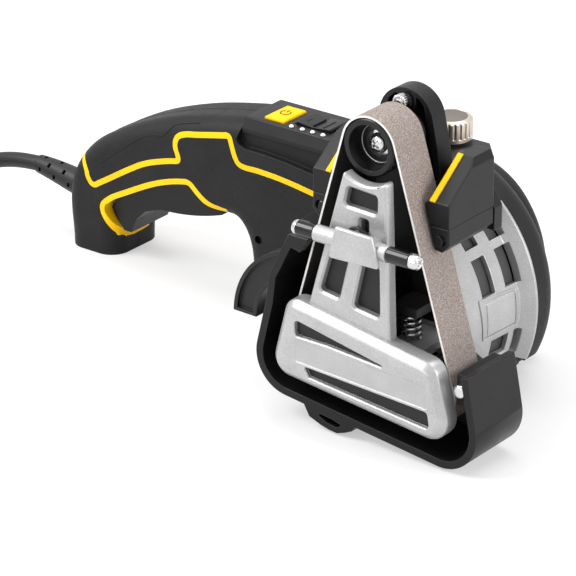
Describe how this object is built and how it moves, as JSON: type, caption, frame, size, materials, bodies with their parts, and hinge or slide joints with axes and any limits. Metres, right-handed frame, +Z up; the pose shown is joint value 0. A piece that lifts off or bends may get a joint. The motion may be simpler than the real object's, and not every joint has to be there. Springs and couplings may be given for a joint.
{
  "type": "electric belt knife sharpener",
  "caption": "Hand-held electric belt sharpener with a triangular belt cassette, tilting blade guides, edge guide, curved handle with trigger, and a power cord.",
  "frame": {"origin": "middle of the footprint of the tool's own bounding box, on the surface it stands on, without the cord", "axes": "+X along the handle towards the belt head, +Y back along the motor shaft, +Z up"},
  "size_m": [0.5005, 0.1324, 0.143],
  "materials": {
    "housing_plastic": "fine moulded texture",
    "guard_plastic": "satin",
    "accent_yellow": "satin",
    "cast_silver": "satin silver paint on die casting",
    "dark_cast": "satin black paint on die casting",
    "belt_grit": "abrasive-coated cloth",
    "pulley_black": "smooth",
    "chrome": "polished",
    "steel": "turned",
    "ceramic_black": "polished",
    "knob_silver": "knurled, satin",
    "motor_iron": "laminated",
    "board_green": "board",
    "lamp": "clear",
    "rubber": "matt",
    "brass": "nickel-plated"
  },
  "bodies": {
    "housing": {"front_housing": "housing_plastic", "rear_housing": "housing_plastic", "bell_cover": "cast_silver", "cassette_plate": "dark_cast", "front_plate": "cast_silver", "backing_plate": "dark_cast", "belt_guard": "guard_plastic", "guard_screw": "chrome", "edge_guide_body": "cast_silver", "edge_guide_rods": "ceramic_black", "edge_guide_screws": "chrome", "tension_spring": "steel", "abrasive_belt": "belt_grit", "guide_frame": "guard_plastic", "tracking_screw": "chrome", "wing_pins": "steel", "motor_stator": "motor_iron", "front_bearing": "steel", "rear_bearing": "steel", "brush_holders": "brass", "control_panel": "guard_plastic", "indicator_lights": "lamp", "circuit_board": "board_green", "upper_accent": "accent_yellow", "lower_accent": "accent_yellow", "housing_screws": "steel", "foot_pads": "rubber", "trigger_pin": "steel", "idler_axle": "steel", "strain_relief": "rubber", "power_cord": "rubber", "power_cord_coil": "rubber", "cord_tail": "rubber", "cord_tie": "rubber", "plug_body": "rubber", "plug_prongs": "brass"},
    "rotor": {"drive_pulley": "pulley_black", "motor_armature": "steel", "cooling_fan": "guard_plastic"},
    "idler": {"idler_pulley": "pulley_black"},
    "tensioner": {"tension_arm": "dark_cast", "pulley_screw": "chrome"},
    "top_pulley": {"tension_pulley": "pulley_black"},
    "knob": {"angle_knob": "knob_silver"},
    "right_wing": {"right_guide_wing": "guard_plastic", "right_wing_base": "guard_plastic", "right_contact_strip": "accent_yellow"},
    "left_wing": {"left_guide_wing": "guard_plastic", "left_wing_base": "guard_plastic", "left_contact_strip": "accent_yellow"},
    "button": {"power_button": "accent_yellow"},
    "rocker": {"speed_rocker": "guard_plastic"},
    "trigger": {"trigger_paddle": "guard_plastic"}
  },
  "joints": [
    {"name": "motor_spin", "type": "hinge", "parent": "housing", "child": "rotor", "pos_m": [0.0592, -0.0473, 0.04], "axis": [0, 1, 0], "continuous": true},
    {"name": "idler_spin", "type": "hinge", "parent": "housing", "child": "idler", "pos_m": [0.1137, -0.0473, 0.0275], "axis": [0, 1, 0], "continuous": true},
    {"name": "belt_tension", "type": "slide", "parent": "housing", "child": "tensioner", "axis": [0, 0, -1], "range_m": [0, 0.008], "stiffness_N_per_m": 900, "springref_m": -0.004, "deforming": ["tension_spring", "abrasive_belt"]},
    {"name": "top_pulley_spin", "type": "hinge", "parent": "tensioner", "child": "top_pulley", "pos_m": [0.0832, -0.0473, 0.1255], "axis": [0, 1, 0], "continuous": true},
    {"name": "angle_turn", "type": "hinge", "parent": "housing", "child": "knob", "pos_m": [0.0832, 0.0087, 0.121], "axis": [0, 0, 1], "range_deg": [0, 300]},
    {"name": "right_wing_tilt", "type": "hinge", "parent": "housing", "child": "right_wing", "pos_m": [0.1128, -0.0393, 0.091], "axis": [0, 1, 0], "range_deg": [0, 15]},
    {"name": "left_wing_tilt", "type": "hinge", "parent": "housing", "child": "left_wing", "pos_m": [0.0536, -0.0393, 0.091], "axis": [0, -1, 0], "range_deg": [0, 15]},
    {"name": "power_press", "type": "slide", "parent": "housing", "child": "button", "axis": [0, 0, -1], "range_m": [0, 0.0015], "stiffness_N_per_m": 300, "springref_m": -0.001},
    {"name": "speed_rock", "type": "hinge", "parent": "housing", "child": "rocker", "pos_m": [-0.0088, 0.0447, 0.0789], "axis": [0, 1, 0], "range_deg": [-4, 4]},
    {"name": "trigger_squeeze", "type": "hinge", "parent": "housing", "child": "trigger", "pos_m": [-0.1083, 0.0457, 0.0365], "axis": [0, -1, 0], "range_deg": [0, 4.5], "stiffness_Nm_per_rad": 0.6, "springref_deg": -5.73}
  ],
  "couplings": [
    {"joint": "idler_spin", "follows": "motor_spin", "ratio": 1},
    {"joint": "top_pulley_spin", "follows": "motor_spin", "ratio": 1},
    {"joint": "right_wing_tilt", "follows": "angle_turn", "ratio": 0.05},
    {"joint": "left_wing_tilt", "follows": "angle_turn", "ratio": 0.05}
  ]
}
